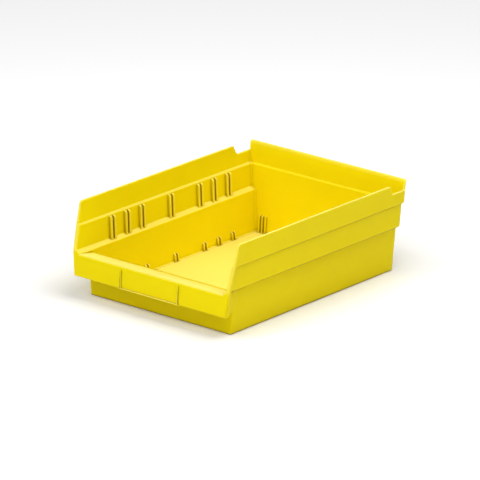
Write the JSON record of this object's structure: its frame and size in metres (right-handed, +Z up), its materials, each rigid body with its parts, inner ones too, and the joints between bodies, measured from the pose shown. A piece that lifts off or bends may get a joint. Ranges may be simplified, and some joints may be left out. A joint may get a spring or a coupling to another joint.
{
  "type": "nesting shelf bin",
  "caption": "Open-top hopper-front shelf bin in yellow plastic with stepped drafted walls, divider slots, a label lip at the front and a hang lip at the back",
  "frame": {"origin": "middle of the base, on the plane the bin stands on", "axes": "+X to the right seen from the open front, +Y from the front lip to the back wall, +Z up"},
  "size_m": [0.2126, 0.2954, 0.1016],
  "materials": {
    "bin_plastic": "moulded polypropylene with a satin sheen, yellow through and through"
  },
  "bodies": {
    "root": {"floor_panel": "bin_plastic", "front_wall": "bin_plastic", "front_lip": "bin_plastic", "label_holder": "bin_plastic", "back_wall_lower": "bin_plastic", "back_wall_upper": "bin_plastic", "rear_hang_lip": "bin_plastic", "right_lower_tier": "bin_plastic", "left_lower_tier": "bin_plastic", "right_middle_tier": "bin_plastic", "left_middle_tier": "bin_plastic", "right_upper_tier": "bin_plastic", "left_upper_tier": "bin_plastic", "right_divider_ribs": "bin_plastic", "left_divider_ribs": "bin_plastic", "right_lip_end_cap": "bin_plastic", "left_lip_end_cap": "bin_plastic"}
  },
  "joints": []
}
